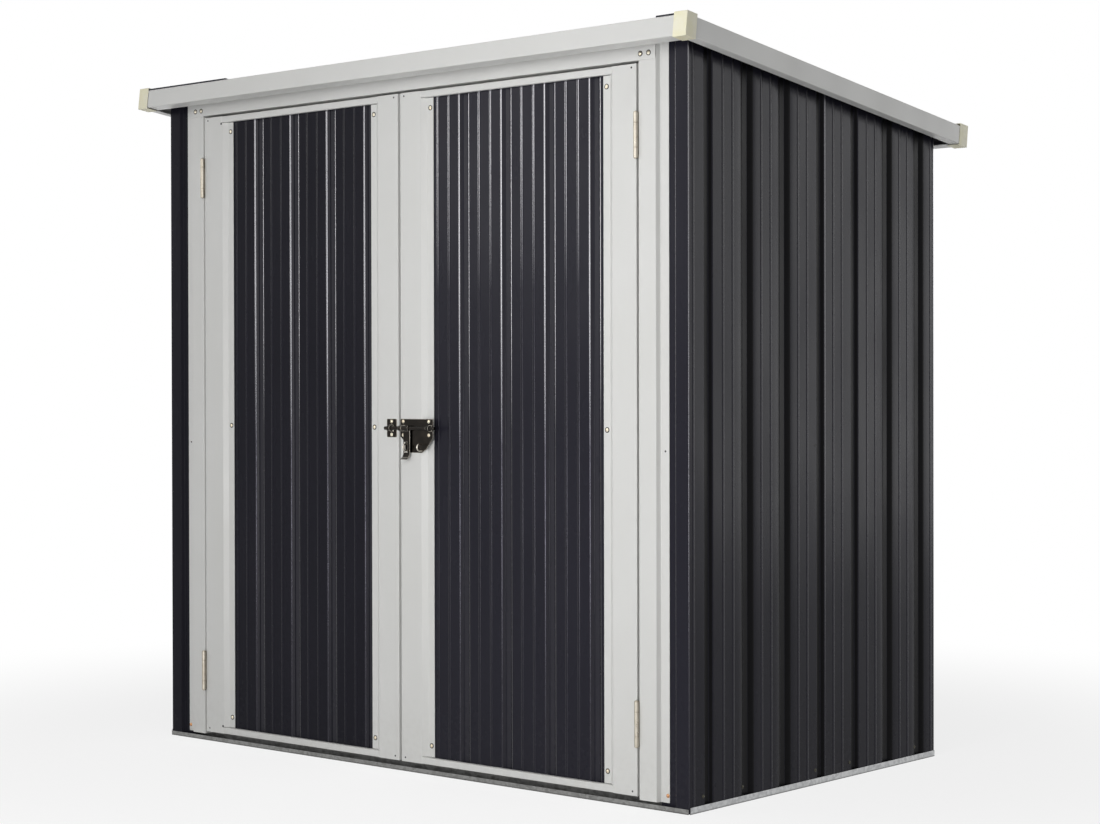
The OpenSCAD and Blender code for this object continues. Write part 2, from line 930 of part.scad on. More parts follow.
// The hasp: a collar that turns on the rod, and a slotted strap with a turned-up finger tab.
module bolt_hasp() {
    collar_r = rod_r + 2.5;
    back = rod_r - 0.5;
    x0 = -hasp_w / 2;
    color(steel_color)
        on_bolt() translate([staple_in - 1.5, -rod_out, 0])
            difference() {
                union() {
                    translate([x0, 0, 0]) rotate([0, 90, 0])
                        cylinder(r = collar_r, h = hasp_w, $fn = 48);
                    along_x(x0, -x0)
                        fold([
                            [back - hasp_t, 0], [back - hasp_t, 12 - hasp_l],
                            [back - hasp_t - 4, 4 - hasp_l], [back - hasp_t - 11, -hasp_l]
                        ], hasp_t);
                }
                rotate([0, 90, 0])
                    cylinder(r = rod_r + guide_gap, h = 2 * hasp_w, center = true, $fn = 48);
                translate([1.5 + staple_r + 0.7 - slot_w, -10, -staple_down - slot_h / 2])
                    cube([slot_w, 20, slot_h]);
            }
}

base_front_rail();
base_back_rail();
base_left_rail();
base_right_rail();
left_wall_front_sheet();
left_wall_rear_sheet();
right_wall_front_sheet();
right_wall_rear_sheet();
back_wall_left_sheet();
back_wall_middle_sheet();
back_wall_right_sheet();
rear_corner_posts();
wall_mid_rails();
wall_top_rails();
left_door_post();
right_door_post();
door_header();
roof_left_sheet();
roof_middle_sheet();
roof_right_sheet();
roof_purlin();
roof_front_trim();
roof_back_trim();
roof_left_trim();
roof_right_trim();
roof_corner_caps();
roof_front_hems();
left_door_sheet();
left_door_hinge_stile();
left_door_meeting_stile();
left_door_rails();
right_door_sheet();
right_door_hinge_stile();
right_door_meeting_stile();
right_door_rails();
left_post_hinge_leaves();
right_post_hinge_leaves();
left_door_hinge_leaves();
right_door_hinge_leaves();
bolt_plate();
bolt_staples();
bolt_keeper();
bolt_rod();
bolt_hasp();
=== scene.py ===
"""Looks of a pent-roofed metal tool shed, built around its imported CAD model."""

import json
import math

import bmesh
import bpy
from mathutils import Matrix, Vector
from mathutils.bvhtree import BVHTree

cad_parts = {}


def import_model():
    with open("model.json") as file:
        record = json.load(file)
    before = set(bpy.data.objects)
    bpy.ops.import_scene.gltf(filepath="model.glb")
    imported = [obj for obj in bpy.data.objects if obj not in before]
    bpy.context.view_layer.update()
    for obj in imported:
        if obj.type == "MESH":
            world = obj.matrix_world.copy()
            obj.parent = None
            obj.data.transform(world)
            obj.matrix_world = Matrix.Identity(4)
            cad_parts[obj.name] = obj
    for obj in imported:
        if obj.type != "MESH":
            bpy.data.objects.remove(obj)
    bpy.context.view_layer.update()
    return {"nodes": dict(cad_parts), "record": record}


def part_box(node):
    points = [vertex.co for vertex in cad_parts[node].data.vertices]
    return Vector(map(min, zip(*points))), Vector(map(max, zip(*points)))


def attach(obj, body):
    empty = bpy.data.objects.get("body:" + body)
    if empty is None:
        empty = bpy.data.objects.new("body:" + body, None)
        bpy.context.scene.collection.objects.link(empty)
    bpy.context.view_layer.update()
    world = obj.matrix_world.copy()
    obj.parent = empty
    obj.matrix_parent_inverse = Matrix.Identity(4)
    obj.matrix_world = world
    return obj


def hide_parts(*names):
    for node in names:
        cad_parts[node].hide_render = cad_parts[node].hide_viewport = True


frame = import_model()

MM = 0.001
FRONT, BACK, LEFT, RIGHT, DOWN = (0, -1, 0), (0, 1, 0), (-1, 0, 0), (1, 0, 0), (0, 0, -1)

# ---------- What the frame says ----------

BODY_OF = {
    node: body
    for body, nodes in frame["record"]["behaviour"]["bodies"].items()
    for node in nodes
}
SLOT_OF = {part["node"]: part["material_slot"] for part in frame["record"]["subparts"]}
SURFACE_OF = {}


class Box:
    """A node's box at rest: low and high corners, size and centre."""

    def __init__(self, node):
        low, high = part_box(node)
        self.low = Vector(low)
        self.high = Vector(high)
        self.size = self.high - self.low
        self.centre = (self.high + self.low) / 2


def surface_of(node):
    """A node's surface at rest, ready for rays and made once."""
    if node not in SURFACE_OF:
        bm = bmesh.new()
        bm.from_mesh(frame["nodes"][node].data)
        SURFACE_OF[node] = BVHTree.FromBMesh(bm)
        bm.free()
    return SURFACE_OF[node]


def struck(node, start, direction):
    """Where a ray first meets a node's surface, and the surface's normal there."""
    place, normal, _, _ = surface_of(node).ray_cast(Vector(start), Vector(direction))
    return place, normal


# ---------- Materials ----------

class Surface:
    """A Principled material with the nodes that vary it over the surface."""

    def __init__(self, name, roughness, metallic=0.0, specular=0.5):
        self.material = bpy.data.materials.new(name)
        self.material.use_nodes = True
        self.tree = self.material.node_tree
        self.shader = self.tree.nodes["Principled BSDF"]
        self.shader.inputs["Roughness"].default_value = roughness
        self.shader.inputs["Metallic"].default_value = metallic
        self.shader.inputs["Specular IOR Level"].default_value = specular
        self.place = self.node("ShaderNodeTexCoord").outputs["Object"]
        self.relief = None

    def fill(self, socket, value):
        """Sets a socket to a value, or joins it to another node's output."""
        if isinstance(value, bpy.types.NodeSocket):
            self.tree.links.new(value, socket)
        else:
            socket.default_value = value

    def node(self, kind, **values):
        """Adds a node, with values for the sockets that they are named after."""
        made = self.tree.nodes.new(kind)
        for name, value in values.items():
            self.fill(made.inputs[name.replace("_", " ")], value)
        return made

    def part_of(self, vector, axis):
        """One axis of a vector."""
        return self.node("ShaderNodeSeparateXYZ", Vector=vector).outputs[axis]

    def noise(self, scale, detail=2.0, stretch=(1, 1, 1)):
        """Noise over the object's coordinates, which are scaled along each axis."""
        place = self.node("ShaderNodeMapping", Vector=self.place, Scale=stretch)
        made = self.node(
            "ShaderNodeTexNoise", Vector=place.outputs["Vector"], Scale=scale, Detail=detail
        )
        return made.outputs["Fac"]

    def spread(self, value, low, high, bottom=0.0, top=1.0):
        """Maps low..high of a value to bottom..top."""
        made = self.node(
            "ShaderNodeMapRange",
            Value=value, From_Min=low, From_Max=high, To_Min=bottom, To_Max=top,
        )
        return made.outputs["Result"]

    def maths(self, operation, a, b):
        """The result of an operation on two values, each a number or an output."""
        made = self.tree.nodes.new("ShaderNodeMath")
        made.operation = operation
        self.fill(made.inputs[0], a)
        self.fill(made.inputs[1], b)
        return made.outputs[0]

    def blend(self, factor, a, b):
        """Blends two colours, each a tuple or an output."""
        made = self.tree.nodes.new("ShaderNodeMix")
        made.data_type = "RGBA"
        self.fill(made.inputs[0], factor)
        for socket, color in zip((made.inputs[6], made.inputs[7]), (a, b)):
            self.fill(socket, (*color, 1) if isinstance(color, tuple) else color)
        return made.outputs[2]

    def edge_mask(self, radius, low=0.02, high=0.3):
        """1 on edges and 0 on flats, from how far a rounded normal turns from the true one."""
        rounded = self.node("ShaderNodeBevel", Radius=radius)
        rounded.samples = 4
        true = self.node("ShaderNodeNewGeometry")
        alike = self.tree.nodes.new("ShaderNodeVectorMath")
        alike.operation = "DOT_PRODUCT"
        self.fill(alike.inputs[0], rounded.outputs["Normal"])
        self.fill(alike.inputs[1], true.outputs["Normal"])
        return self.spread(self.maths("SUBTRACT", 1.0, alike.outputs["Value"]), low, high)

    def color(self, value):
        self.fill(self.shader.inputs["Base Color"], value)

    def roughness(self, value):
        self.fill(self.shader.inputs["Roughness"], value)

    def bump(self, height, distance, strength=1.0):
        """Adds a bump of the given depth in metres on top of the earlier ones."""
        made = self.node("ShaderNodeBump", Height=height, Strength=strength, Distance=distance)
        if self.relief:
            self.fill(made.inputs["Normal"], self.relief)
        self.relief = made.outputs["Normal"]
        self.fill(self.shader.inputs["Normal"], self.relief)


def coated_sheet(name, tone, second_tone, edge_tone, dust, roughness, specular):
    """Thin steel with a coil coating: orange peel, slight waves, smudges, settled dust and an edge
    tone, which on the dark sheets is wear and a painted highlight.
    """
    s = Surface(name, roughness, specular=specular)
    drift = s.spread(s.noise(3.1, 3), 0.35, 0.68)
    specks = s.spread(s.noise(70, 4), 0.4, 0.75)
    normal = s.node("ShaderNodeNewGeometry").outputs["Normal"]
    on_level_faces = s.spread(s.part_of(normal, "Z"), 0.3, 1.0, 0.0, 0.5)
    near_ground = s.spread(s.part_of(s.place, "Z"), 0.22, 0.0, 0.0, 0.25)
    settled = s.maths("MULTIPLY", s.maths("ADD", on_level_faces, near_ground), specks)
    base = s.blend(drift, tone, second_tone)
    base = s.blend(settled, base, dust)
    # Edges take the edge tone: wear, and on the dark sheets a painted highlight.
    s.color(s.blend(s.edge_mask(0.002, 0.01, 0.06), base, edge_tone))
    smudges = s.spread(s.noise(9, 5, (1, 1, 0.35)), 0.3, 0.75, roughness - 0.06, roughness + 0.1)
    s.roughness(s.maths("ADD", smudges, s.maths("MULTIPLY", settled, 0.35)))
    s.bump(s.noise(2.3, 1, (1, 1, 0.45)), 0.006)
    s.bump(s.noise(620, 2), 0.00006, 0.6)
    return s.material


def galvanised(name, dark, light, bloomed):
    """Hot-dipped zinc with its crystals, a little white bloom, and painted shade along the ground.
    """
    s = Surface(name, 0.42, metallic=1.0)
    cells = s.node("ShaderNodeTexVoronoi", Vector=s.place, Scale=140.0)
    crystal = s.node("ShaderNodeSeparateColor", Color=cells.outputs["Color"]).outputs["Red"]
    base = s.blend(s.spread(crystal, 0, 1), dark, light)
    bloom = s.spread(s.noise(14, 5), 0.5, 0.78, 0.0, 0.5)
    base = s.blend(bloom, base, bloomed)
    # Painted shade: the lowest few millimetres darken where the zinc meets the ground.
    ground_shade = s.spread(s.part_of(s.place, "Z"), 0.0045, 0.001, 0.0, 0.75)
    s.color(s.blend(ground_shade, base, (0.06, 0.06, 0.056)))
    s.roughness(s.maths("ADD", s.spread(crystal, 0, 1, 0.34, 0.5), s.maths("MULTIPLY", bloom, 0.2)))
    s.bump(s.noise(160, 3), 0.00015, 0.5)
    return s.material


def plated(name, tone, tarnish, edge, roughness, edge_radius, grain=(1, 1, 1)):
    """Plated hardware: a drawn grain, tarnish in patches and an edge of another brightness. The
    bright edges of the black nickel and the blackened brass are painted highlights.
    """
    s = Surface(name, roughness, metallic=1.0)
    patches = s.spread(s.noise(55, 4), 0.45, 0.75)
    base = s.blend(patches, tone, tarnish)
    s.color(s.blend(s.edge_mask(edge_radius), base, edge))
    s.roughness(s.spread(s.noise(130, 4), 0.3, 0.75, roughness - 0.05, roughness + 0.12))
    s.bump(s.noise(900, 2, grain), 0.00005, 0.5)
    return s.material


def moulded_plastic(name, tone, aged, edge_tone):
    """Moulded plastic with a fine spark texture, a little yellower in places."""
    s = Surface(name, 0.42)
    age = s.spread(s.noise(28, 3), 0.35, 0.7)
    s.color(s.blend(s.edge_mask(0.0015), s.blend(age, tone, aged), edge_tone))
    s.roughness(s.spread(s.noise(90, 4), 0.3, 0.7, 0.36, 0.52))
    s.bump(s.noise(1500, 2), 0.00005, 0.5)
    s.bump(s.noise(45, 2), 0.0004, 0.4)
    return s.material


def painted_fold_highlight(name, brightness, low, high, dull=(0.034, 0.033, 0.040)):
    """A painted highlight along a fold: dull below a low height and bright above a high one, so
    that it brightens towards the top.
    """
    s = Surface(name, 0.24, metallic=1.0)
    height = s.spread(s.part_of(s.place, "Z"), low, high)
    uneven = s.spread(s.noise(4, 1, (1, 1, 0.3)), 0.3, 0.6, 0.7, 1.0)
    bright = tuple(brightness * tint for tint in (1.0, 0.99, 1.04))
    s.color(s.blend(s.maths("MULTIPLY", height, uneven), dull, bright))
    s.roughness(s.spread(s.noise(60, 4), 0.3, 0.7, 0.18, 0.32))
    s.bump(s.noise(620, 2), 0.00003, 0.3)
    return s.material


def matt_black(name):
    """Black, for black rubber and as painted shade in the dark inside of a small hole."""
    s = Surface(name, 0.7)
    s.color(s.blend(s.noise(400, 3), (0.006, 0.006, 0.007), (0.02, 0.02, 0.022)))
    s.bump(s.noise(800, 2), 0.0001)
    return s.material


# Edge tone of the anthracite coatings: wear, and a painted highlight on their edges.
WORN_AND_HIGHLIT_ANTHRACITE = (0.12, 0.12, 0.13)
DRAWN_UP = (1, 1, 0.05)
DRAWN_ACROSS = (0.05, 1, 1)

# The finish of each material slot.
FINISH = {
    "dark_sheet": coated_sheet(
        "anthracite_coating", (0.0145, 0.0141, 0.0215), (0.0172, 0.0166, 0.0245),
        edge_tone=WORN_AND_HIGHLIT_ANTHRACITE, dust=(0.032, 0.032, 0.034), roughness=0.24, specular=0.09),
    "white_trim": coated_sheet(
        "off_white_coating", (0.70, 0.70, 0.685), (0.68, 0.68, 0.66),
        edge_tone=(0.76, 0.76, 0.74), dust=(0.52, 0.51, 0.48), roughness=0.34, specular=0.40),
    "cap_plastic": moulded_plastic(
        "cream_plastic", (0.88, 0.85, 0.68), aged=(0.85, 0.81, 0.56), edge_tone=(0.89, 0.87, 0.77)),
    "galvanised": galvanised(
        "zinc_coating", (0.33, 0.335, 0.34), (0.46, 0.465, 0.47), bloomed=(0.50, 0.505, 0.505)),
    "brass": plated(
        "pale_brass_plating", (0.47, 0.435, 0.37), tarnish=(0.38, 0.34, 0.275),
        edge=(0.34, 0.29, 0.22), roughness=0.30, edge_radius=0.6 * MM, grain=DRAWN_UP),
    # The black nickel's bright edge tone is a painted highlight.
    "bolt_steel": plated(
        "black_nickel", (0.020, 0.018, 0.016), tarnish=(0.032, 0.027, 0.023),
        edge=(0.62, 0.56, 0.48), roughness=0.13, edge_radius=1.2 * MM, grain=DRAWN_ACROSS),
}

# The finishes of a piece's marked faces. A marked face's material index is one more than its
# finish's place here, as index 0 is the piece's main finish.
MARKED = {
    "dark_sheet": (
        # Painted highlights on the folds and beads, brightening towards the top.
        painted_fold_highlight("painted_highlight_left_folds", 0.27, low=0.82, high=1.25),
        painted_fold_highlight("painted_highlight_right_folds", 0.62, low=0.86, high=1.12, dull=(0.095, 0.094, 0.099)),
        painted_fold_highlight("painted_highlight_strong_beads", 0.45, low=1.2, high=1.55),
        painted_fold_highlight("painted_highlight_faint_beads", 0.040, low=1.1, high=1.75, dull=(0.021, 0.0205, 0.027)),
        painted_fold_highlight("painted_highlight_corner_folds", 0.16, low=0.1, high=1.9),
        painted_fold_highlight("painted_highlight_wall_beads", 0.048, low=0.1, high=1.4),
        # Painted highlight on the upright cut edges, brightening towards the top.
        painted_fold_highlight("painted_highlight_cut_edge", 0.55, low=0.2, high=1.7),
        # A lighter coating in the doors' grooves: a painted sheen.
        coated_sheet(
            "painted_sheen_groove_coating", (0.024, 0.0235, 0.031), (0.029, 0.028, 0.036),
            edge_tone=WORN_AND_HIGHLIT_ANTHRACITE, dust=(0.034, 0.034, 0.036), roughness=0.26, specular=0.12),
        # A near-black coating in the walls' grooves: painted shade.
        coated_sheet(
            "painted_shade_groove_coating", (0.0030, 0.0029, 0.0036), (0.0050, 0.0048, 0.0058),
            edge_tone=(0.05, 0.05, 0.055), dust=(0.012, 0.012, 0.013), roughness=0.34, specular=0.07),
    ),
    "brass": (
        plated(
            "hinge_joint", (0.20, 0.165, 0.10), tarnish=(0.13, 0.105, 0.06),
            edge=(0.24, 0.20, 0.12), roughness=0.36, edge_radius=0.4 * MM, grain=DRAWN_UP),
    ),
    "bolt_steel": (
        # A bright finish for the bolt's eased edges: a painted highlight.
        plated(
            "painted_highlight_edge", (0.62, 0.58, 0.52), tarnish=(0.42, 0.38, 0.33),
            edge=(0.80, 0.76, 0.70), roughness=0.2, edge_radius=0.4 * MM, grain=DRAWN_ACROSS),
    ),
}
(
    LEFT_FOLD, RIGHT_FOLD, STRONG_BEAD, FAINT_BEAD, CORNER_FOLD, WALL_BEAD, CUT, SHEEN_GROOVE, SHADED_GROOVE
) = range(1, 10)
EASED_EDGE = 1

# Painted shade for the dark inside of holes and notches.
PAINTED_SHADE_HOLE = matt_black("punched_hole_painted_shade")
RUBBER = matt_black("sealing_rubber")
# A darker copy of the zinc: painted shade on the base's front rail.
SHADED_ZINC = galvanised("painted_shade_front_zinc", (0.17, 0.17, 0.165), (0.26, 0.26, 0.255), (0.30, 0.30, 0.295))
# A darker copy of the anthracite coating: painted shade on the left door's sheet and the left
# wall's front sheet.
SHADED_ANTHRACITE = coated_sheet(
    "painted_shade_anthracite_coating", (0.0112, 0.0109, 0.0165), (0.0132, 0.0127, 0.0188),
    edge_tone=WORN_AND_HIGHLIT_ANTHRACITE, dust=(0.026, 0.026, 0.028), roughness=0.24, specular=0.055)
SCREW = plated(
    "screw_brass", (0.80, 0.74, 0.60), tarnish=(0.58, 0.46, 0.30), edge=(0.90, 0.86, 0.74),
    roughness=0.26, edge_radius=0.6 * MM)
# Near-black screw heads; their bright edge tone is a painted glint.
BLACKENED = plated(
    "blackened_brass", (0.055, 0.052, 0.040), tarnish=(0.030, 0.028, 0.022),
    edge=(0.34, 0.31, 0.24), roughness=0.24, edge_radius=0.4 * MM)
COPPER = plated(
    "copper_plating", (0.62, 0.33, 0.16), tarnish=(0.40, 0.20, 0.10), edge=(0.85, 0.62, 0.42),
    roughness=0.28, edge_radius=0.6 * MM)

# Nodes that have another main finish than their slot's. The front rail's darker zinc and the left
# sheets' darker coating are painted shade; the staples take the bolt's bright edge finish all over.
OWN_FINISH = {
    "base_front_rail": SHADED_ZINC,
    "left_door_sheet": SHADED_ANTHRACITE,
    "left_wall_front_sheet": SHADED_ANTHRACITE,
    "bolt_staples": MARKED["bolt_steel"][0],
}


def finish(piece, slot):
    """Gives a piece its slot's finish, and those of the slot's marked faces."""
    piece.data.materials.clear()
    for material in (FINISH[slot], *MARKED.get(slot, ())):
        piece.data.materials.append(material)


def with_finish(piece, material):
    """Changes a piece's main finish."""
    piece.data.materials[0] = material


# ---------- Rounded copies of the CAD pieces ----------

# A face narrower than this is a sheet's cut edge, and isn't rounded like a fold.
CUT_EDGE = 1.7 * MM
# A cut edge taller than this stands upright on a wall or door, and gets a painted highlight that
# brightens towards the top.
TALL = 1.0
# Folds sharper than this get the wide radius, and shallower ones the narrow radius.
SHALLOW = math.radians(35)
# Bends below this are left as they are.
SMALLEST = math.radians(18)
# A fold gets the wide radius only where its narrower face is this many radii wide.
ROOM = 2.6
# How far back from its front edge the right wall has its corner folds.
CORNER_STRIP = 14 * MM
# Faces between these depths below a sheet's crests are in its grooves.
SHALLOWEST, DEEPEST = 2.6 * MM, 15 * MM
# The least share of a groove face's normal that points straight out of its sheet.
OUTWARD_SHARE = 0.3
# Which way a sheet's outer side faces, by a part of its name.
OUTWARD = {"door": FRONT, "left_wall": LEFT, "right_wall": RIGHT, "back": BACK}


def mean_width(face):
    return 2 * face.calc_area() / max(face.calc_perimeter(), 1e-9)


def flat_faced(node):
    """A node's mesh with its flat faces whole again."""
    bm = bmesh.new()
    bm.from_mesh(frame["nodes"][node].data)
    bmesh.ops.remove_doubles(bm, verts=bm.verts, dist=0.002 * MM)
    bmesh.ops.dissolve_limit(
        bm, angle_limit=math.radians(0.5), verts=bm.verts, edges=bm.edges,
        use_dissolve_boundaries=False,
    )
    return bm


def as_piece(bm, name, body, slot, smooth_below=32):
    """Makes an object from a bmesh, smooth across edges below an angle in degrees."""
    limit = math.radians(smooth_below)
    bm.normal_update()
    for face in bm.faces:
        face.smooth = True
    for edge in bm.edges:
        edge.smooth = edge.is_manifold and edge.calc_face_angle(0) < limit
    mesh = bpy.data.meshes.new(name)
    bm.to_mesh(mesh)
    piece = bpy.data.objects.new(name, mesh)
    # Clearing the materials sets the faces' indices back, so they are copied after it.
    finish(piece, slot)
    for face, marked in zip(mesh.polygons, bm.faces):
        face.material_index = marked.material_index
    bm.free()
    bpy.context.scene.collection.objects.link(piece)
    weighted = piece.modifiers.new("even_shading", "WEIGHTED_NORMAL")
    weighted.keep_sharp = True
    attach(piece, body)
    return piece


def fold_mark(node, edge, sharp):
    """The material index of a fold's painted highlight, or 0 where its rounding is as plain as the
    sheet.

    A groove's left fold faces right, and its right fold faces left.
    """
    if SLOT_OF[node] != "dark_sheet" or not edge.is_convex:
        return 0
    out = edge.link_faces[0].normal + edge.link_faces[1].normal
    if "door_sheet" in node:
        if out.y > 0:
            return 0
        if sharp:
            return LEFT_FOLD if out.x > 0 else RIGHT_FOLD
        return STRONG_BEAD if node == "right_door_sheet" else FAINT_BEAD
    if node == "right_wall_front_sheet":
        corner_end = Box(node).low.y + CORNER_STRIP
        if edge.verts[0].co.y < corner_end:
            return CORNER_FOLD
    return WALL_BEAD if "wall" in node and not sharp else 0


def in_groove(node, face):
    """Whether a sheet's face is one of the outer faces down in its grooves."""
    outward = next((side for key, side in OUTWARD.items() if key in node), None)
    if outward is None or face.normal.dot(outward) < OUTWARD_SHARE:
        return False
    box = Box(node)
    crests = max(box.low.dot(outward), box.high.dot(outward))
    depth = crests - face.calc_center_median().dot(Vector(outward))
    return SHALLOWEST < depth < DEEPEST


def mark_sheet(node, bm):
    """Marks a sheet's upright cut edges for a painted highlight, and the faces in its grooves for a
    painted sheen on doors and painted shade on walls.
    """
    for face in bm.faces:
        heights = [vertex.co.z for vertex in face.verts]
        if mean_width(face) < CUT_EDGE and max(heights) - min(heights) > TALL:
            face.material_index = CUT
        if in_groove(node, face):
            face.material_index = SHEEN_GROOVE if "door" in node else SHADED_GROOVE


def folded(node, wide, narrow):
    """Stands for a sheet-metal node, with its folds rounded."""
    bm = flat_faced(node)
    bm.normal_update()
    groups = {}
    for edge in bm.edges:
        if not edge.is_manifold or edge.calc_face_angle(0) < SMALLEST:
            continue
        width = min(mean_width(face) for face in edge.link_faces)
        if width < CUT_EDGE:
            continue
        sharp = edge.calc_face_angle(0) > SHALLOW
        offset = wide if sharp and width > ROOM * wide else narrow
        groups.setdefault((offset, fold_mark(node, edge, sharp)), []).append(edge)
    if SLOT_OF[node] == "dark_sheet":
        mark_sheet(node, bm)
    for (offset, index), edges in groups.items():
        made = bmesh.ops.bevel(
            bm, geom=[e for e in edges if e.is_valid], offset=offset, offset_type="OFFSET",
            segments=3, profile=0.5, affect="EDGES", clamp_overlap=False,
        )
        for face in made["faces"]:
            face.material_index = index
    piece = as_piece(bm, f"{node}_folded", BODY_OF[node], SLOT_OF[node])
    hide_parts(node)
    return piece


def eased(node, radius, sharper_than=30):
    """Stands for a solid node, with every edge sharper than an angle in degrees eased."""
    bm = flat_faced(node)
    limit = math.radians(sharper_than)
    edges = [e for e in bm.edges if e.is_manifold and e.calc_face_angle(0) > limit]
    made = bmesh.ops.bevel(
        bm, geom=edges, offset=radius, offset_type="OFFSET", segments=2, profile=0.5,
        affect="EDGES", clamp_overlap=True,
    )
    for face in made["faces"]:
        face.material_index = EASED_EDGE if SLOT_OF[node] in MARKED else 0
    piece = as_piece(bm, f"{node}_eased", BODY_OF[node], SLOT_OF[node], smooth_below=40)
    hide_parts(node)
    return piece


# The wide and narrow fold radii of each sheet-metal slot, and the edge radius of each solid one.
FOLDED = {
    "dark_sheet": (2.1 * MM, 0.9 * MM),
    "white_trim": (2.0 * MM, 1.5 * MM),
    "galvanised": (1.6 * MM, 1.0 * MM),
}
EASED = {"cap_plastic": 1.6 * MM, "brass": 0.4 * MM, "bolt_steel": 0.55 * MM}


def shape_nodes():
    """Rounds every node but the roof's small hems, which keep their CAD shape."""
    for node, slot in SLOT_OF.items():
        if node == "roof_front_hems":
            finish(frame["nodes"][node], slot)
            continue
        piece = folded(node, *FOLDED[slot]) if slot in FOLDED else eased(node, EASED[slot])
        if node in OWN_FINISH:
            with_finish(piece, OWN_FINISH[node])


shape_nodes()

# ---------- Meshes of small fixings ----------

def turned(bm, profile, steps=20):
    """Adds a turned shape round Z from (radius, height) points, with its ends closed."""
    rings = []
    for radius, height in profile:
        rings.append([
            bm.verts.new((
                radius * math.cos(2 * math.pi * i / steps),
                radius * math.sin(2 * math.pi * i / steps),
                height,
            ))
            for i in range(steps)
        ])
    for lower, upper in zip(rings, rings[1:]):
        for i in range(steps):
            j = (i + 1) % steps
            bm.faces.new((lower[i], lower[j], upper[j], upper[i]))
    bm.faces.new(rings[-1])
    bm.faces.new(list(reversed(rings[0])))


def turned_mesh(name, profile, steps=20, turn=0):
    """A mesh of one turned shape, turned round Z by an angle in degrees."""
    bm = bmesh.new()
    turned(bm, profile, steps)
    bm.transform(Matrix.Rotation(math.radians(turn), 4, "Z"))
    mesh = bpy.data.meshes.new(name)
    bm.to_mesh(mesh)
    bm.free()
    return mesh


def cross_recess(bm, radius, depth, top):
    """The cutter of a cross recess, tapering down from the top of a head."""
    arm = radius * 0.24
    taper = 0.45
    outline = [
        (arm, arm), (arm, radius), (-arm, radius), (-arm, arm), (-radius, arm), (-radius, -arm),
        (-arm, -arm), (-arm, -radius), (arm, -radius), (arm, -arm), (radius, -arm), (radius, arm),
    ]
    upper = [bm.verts.new((x, y, top + depth)) for x, y in outline]
    lower = [bm.verts.new((x * taper, y * taper, top - depth)) for x, y in outline]
    for i in range(len(outline)):
        j = (i + 1) % len(outline)
        bm.faces.new((upper[i], lower[i], lower[j], upper[j]))
    bm.faces.new(upper)
    bm.faces.new(list(reversed(lower)))
    bmesh.ops.recalc_face_normals(bm, faces=bm.faces)


def screw_mesh(name, radius, rise, flange):
    """A flanged pan head with a cross recess, lying on z = 0."""
    dome = rise - flange
    head = bmesh.new()
    turned(head, [
        (radius, 0), (radius, flange * 0.7), (radius * 0.96, flange),
        (radius * 0.72, flange * 1.15), (radius * 0.66, flange + dome * 0.5),
        (radius * 0.52, flange + dome * 0.85), (radius * 0.28, rise),
    ])
    tool = bmesh.new()
    cross_recess(tool, radius * 0.42, rise * 0.5, rise)
    objects = []
    for bm, part in ((head, "head"), (tool, "tool")):
        mesh = bpy.data.meshes.new(f"{name}_{part}")
        bm.to_mesh(mesh)
        bm.free()
        made = bpy.data.objects.new(mesh.name, mesh)
        bpy.context.scene.collection.objects.link(made)
        objects.append(made)
    cut = objects[0].modifiers.new("recess", "BOOLEAN")
    cut.object = objects[1]
    cut.operation = "DIFFERENCE"
    cut.solver = "EXACT"
    bpy.context.view_layer.update()
    done = bpy.data.meshes.new_from_object(
        objects[0].evaluated_get(bpy.context.evaluated_depsgraph_get())
    )
    for made in objects:
        bpy.data.objects.remove(made)
    return done


def hole_mesh(name, radius, rim, square=False):
    """A punched hole's thin rim round a dark disc, which is painted shade for its inside."""
    profile = [
        (radius + rim, 0), (radius + rim, 0.12 * MM), (radius + rim * 0.4, 0.3 * MM),
        (radius, 0.3 * MM), (radius * 0.92, 0.06 * MM),
    ]
    if square:
        return turned_mesh(name, profile, steps=4, turn=45)
    return turned_mesh(name, profile)


WASHER_T = 0.5 * MM
small_screw = screw_mesh("small_screw", radius=4.4 * MM, rise=2.3 * MM, flange=0.5 * MM)
screw = screw_mesh("screw", radius=4.8 * MM, rise=2.8 * MM, flange=0.6 * MM)
roof_screw = screw_mesh("washered_screw", radius=6.5 * MM, rise=4.5 * MM, flange=1.4 * MM)
flat_screw = screw_mesh("flat_screw", radius=3.4 * MM, rise=0.5 * MM, flange=0.15 * MM)
washer = turned_mesh("washer", [(6.6 * MM, 0), (6.6 * MM, WASHER_T), (5.8 * MM, 0.8 * MM)])
hole = hole_mesh("hole", radius=1.7 * MM, rim=0.6 * MM)
wide_hole = hole_mesh("wide_hole", radius=2.8 * MM, rim=0.8 * MM)
notch = hole_mesh("notch", radius=3.6 * MM, rim=0.3 * MM, square=True)
pin_end = turned_mesh("pin_end", [
    (4.2 * MM, 0), (4.2 * MM, 0.8 * MM), (3.4 * MM, 1.9 * MM), (1.6 * MM, 2.5 * MM),
])


# ---------- Fixings in their places ----------

# Rays that look for a surface start this far from the shed's middle.
FAR = 2


def facing(point, normal, turn):
    """The matrix that stands a fixing on a point, facing along a normal."""
    upright = Vector(normal).to_track_quat("Z", "Y").to_matrix().to_4x4()
    return Matrix.Translation(point) @ upright @ Matrix.Rotation(turn, 4, "Z")


def fixings(name, mesh, places, body, slot, turn=1.7):
    """Joins copies of a small mesh at (point, normal) places, each turned further in radians."""
    bm = bmesh.new()
    for i, (point, normal) in enumerate(places):
        part = mesh.copy()
        part.transform(facing(point, normal, turn * i))
        bm.from_mesh(part)
        bpy.data.meshes.remove(part)
    return as_piece(bm, name, body, slot, smooth_below=35)


def washered_screws(name, places, body):
    """Brass screws, each on a dark sealing washer that stands a little proud."""
    lifted = [(point + WASHER_T * Vector(normal), normal) for point, normal in places]
    with_finish(fixings(f"{name}_washers", washer, places, body, "brass"), RUBBER)
    with_finish(fixings(name, small_screw, lifted, body, "brass"), SCREW)


